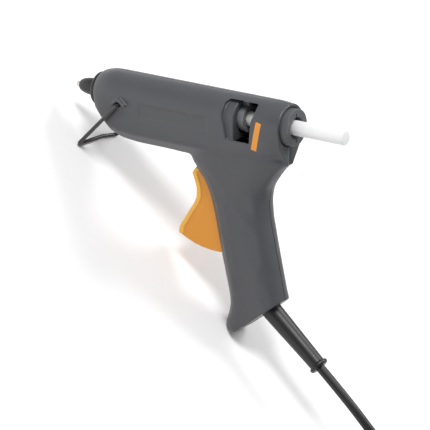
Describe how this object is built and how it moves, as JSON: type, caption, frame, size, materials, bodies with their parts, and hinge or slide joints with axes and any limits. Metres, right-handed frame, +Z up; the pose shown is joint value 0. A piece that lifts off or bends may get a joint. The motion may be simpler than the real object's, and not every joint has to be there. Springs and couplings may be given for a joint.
{
  "type": "glue gun",
  "caption": "Trigger-fed hot-melt glue gun with a rounded barrel, inspection window, folding wire stand, sleeved nozzle, round glue stick and a mains lead with a plug.",
  "frame": {"origin": "on the bench, under the middle of the gun's own box without its cord, as the gun stands on its folding wire stand and the toe of its grip", "axes": "+Z up off the bench; +X from the nozzle towards the grip, level; +Y across the gun, from the left casing half to the right one; the barrel and glue stick slope down towards -X by about 44 degrees"},
  "size_m": [0.4848, 0.063, 0.1899],
  "materials": {
    "housing": "fine textured satin",
    "blackened_steel": "blackened",
    "black_silicone": "satin",
    "nickel_brass": "satin nickel over brass",
    "chamber_alloy": "as cast",
    "heater_insulation": "gloss amber film",
    "electrode_alloy": "rolled",
    "heater_ceramic": "matt",
    "tinned_brass": "tinned",
    "live_lead": "satin",
    "neutral_lead": "satin",
    "red_silicone": "satin",
    "spring_steel": "bright",
    "carriage_plastic": "satin",
    "orange_plastic": "satin",
    "hot_melt": "waxy translucent",
    "guide_plastic": "satin",
    "bail_wire": "dark drawn wire",
    "cord_rubber": "matt",
    "clamp_plastic": "satin",
    "plug_plastic": "satin",
    "plug_metal": "nickel plated"
  },
  "bodies": {
    "casing": {"housing_left": "housing", "housing_right": "housing", "housing_screws": "blackened_steel", "front_cap": "black_silicone", "nozzle": "nickel_brass", "nozzle_sleeve": "black_silicone", "melt_chamber": "chamber_alloy", "heater_film": "heater_insulation", "heater_electrodes": "electrode_alloy", "heater_tiles": "heater_ceramic", "heater_wedge": "chamber_alloy", "lead_terminals": "tinned_brass", "lead_live": "live_lead", "lead_neutral": "neutral_lead", "inlet_sleeve": "red_silicone", "sleeve_clamp": "spring_steel", "return_spring": "spring_steel", "trigger_pin": "spring_steel", "stick_guide": "guide_plastic", "strain_relief": "cord_rubber", "cord_tail": "cord_rubber", "cord_clamp": "clamp_plastic", "clamp_screws": "blackened_steel", "power_cord": "cord_rubber", "cord_hank": "cord_rubber", "plug_lead": "cord_rubber", "plug_body": "plug_plastic", "plug_pins": "plug_metal"},
    "carriage": {"feed_carriage": "carriage_plastic", "jaw_pin": "spring_steel"},
    "jaw": {"gripper_jaw": "spring_steel"},
    "trigger_lever": {"trigger": "orange_plastic"},
    "stick": {"glue_stick": "hot_melt"},
    "bail": {"bail_stand": "bail_wire"}
  },
  "joints": [
    {"name": "trigger_pull", "type": "hinge", "parent": "casing", "child": "trigger_lever", "pos_m": [0.00669, 0, 0.08495], "axis": [0, -1, 0], "range_deg": [0, 22], "stiffness_Nm_per_rad": 0.8, "springref_deg": -14.32},
    {"name": "carriage_feed", "type": "slide", "parent": "casing", "child": "carriage", "axis": [-0.7194, 0, -0.6945], "range_m": [0, 0.01245], "deforming": ["return_spring"]},
    {"name": "jaw_grip", "type": "hinge", "parent": "carriage", "child": "jaw", "pos_m": [-0.00238, 0, 0.11122], "axis": [0, 1, 0], "range_deg": [0, 3.4]},
    {"name": "stick_feed", "type": "slide", "parent": "casing", "child": "stick", "axis": [-0.7194, 0, -0.6945], "range_m": [0, 0.01245]},
    {"name": "bail_fold", "type": "hinge", "parent": "casing", "child": "bail", "pos_m": [-0.07413, 0, 0.05349], "axis": [0, -1, 0], "range_deg": [0, 90]}
  ],
  "couplings": [
    {"joint": "carriage_feed", "follows": "trigger_pull", "m_per_rad": 0.032399},
    {"joint": "jaw_grip", "follows": "trigger_pull", "ratio": 0.15},
    {"joint": "stick_feed", "follows": "trigger_pull", "m_per_rad": 0.032399}
  ]
}
